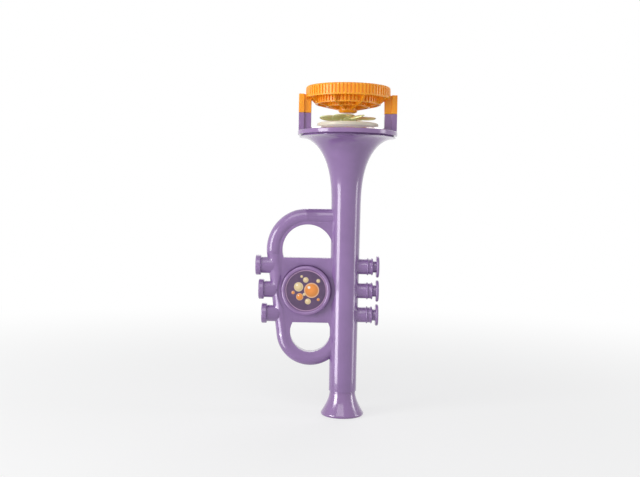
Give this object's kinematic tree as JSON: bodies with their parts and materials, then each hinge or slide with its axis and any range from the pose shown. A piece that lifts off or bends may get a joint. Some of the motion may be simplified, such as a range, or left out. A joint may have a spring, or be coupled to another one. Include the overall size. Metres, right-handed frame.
{
  "type": "bubble blower trumpet",
  "caption": "Toy trumpet that blows bubbles: a thumb button runs a fan above the bell, under a head of slotted rings; battery door in the rear.",
  "frame": {"origin": "centre of the mouthpiece's end", "axes": "+Z along the main tube up to the bell and the bubble head, -Y to the front with the thumb button, +X towards the three valves with round finger caps"},
  "size_m": [0.1039, 0.0742, 0.2455],
  "materials": {
    "lilac": "lilac moulded plastic with a faint sheen",
    "violet": "lilac moulded plastic, a trace warmer",
    "cream": "cream moulded plastic",
    "orange": "orange moulded plastic",
    "lime": "yellow-green moulded plastic",
    "steel": "plain steel",
    "white": "white nylon",
    "brass": "bare brass",
    "label": "printed paper under a gloss film",
    "cell_jacket": "plain printed steel jacket",
    "red_wire": "red insulation",
    "black_wire": "black insulation",
    "blue_wire": "blue insulation"
  },
  "bodies": {
    "trumpet": {"front_shell": "lilac", "rear_shell": "lilac", "rim_ring": "violet", "mouthpiece": "violet", "platform": "cream", "bubble_head": "orange", "motor_can": "steel", "motor_end_cap": "white", "motor_terminals": "brass", "switch_contacts": "brass", "button_spring": "steel", "lower_cell": "cell_jacket", "upper_cell": "cell_jacket", "spring_contact": "steel", "plate_contact": "steel", "shell_screws": "steel", "wire_red": "red_wire", "wire_black": "black_wire", "wire_blue": "blue_wire"},
    "rotor": {"fan": "lime", "motor_shaft": "steel"},
    "button": {"thumb_button": "violet", "button_label": "label", "contact_bridge": "brass"},
    "door": {"battery_door": "lilac", "door_screw": "steel"}
  },
  "joints": [
    {"name": "fan_spin", "type": "hinge", "parent": "trumpet", "child": "rotor", "pos_m": [0, 0, 0.2195], "axis": [0, 0, 1], "continuous": true},
    {"name": "button_press", "type": "slide", "parent": "trumpet", "child": "button", "axis": [0, 1, 0], "range_m": [0, 0.002], "stiffness_N_per_m": 600, "springref_m": -0.002, "deforming": ["button_spring"]},
    {"name": "door_swing", "type": "hinge", "parent": "trumpet", "child": "door", "pos_m": [0, 0.0103, 0.0249], "axis": [-1, 0, 0], "range_deg": [0, 40]}
  ]
}
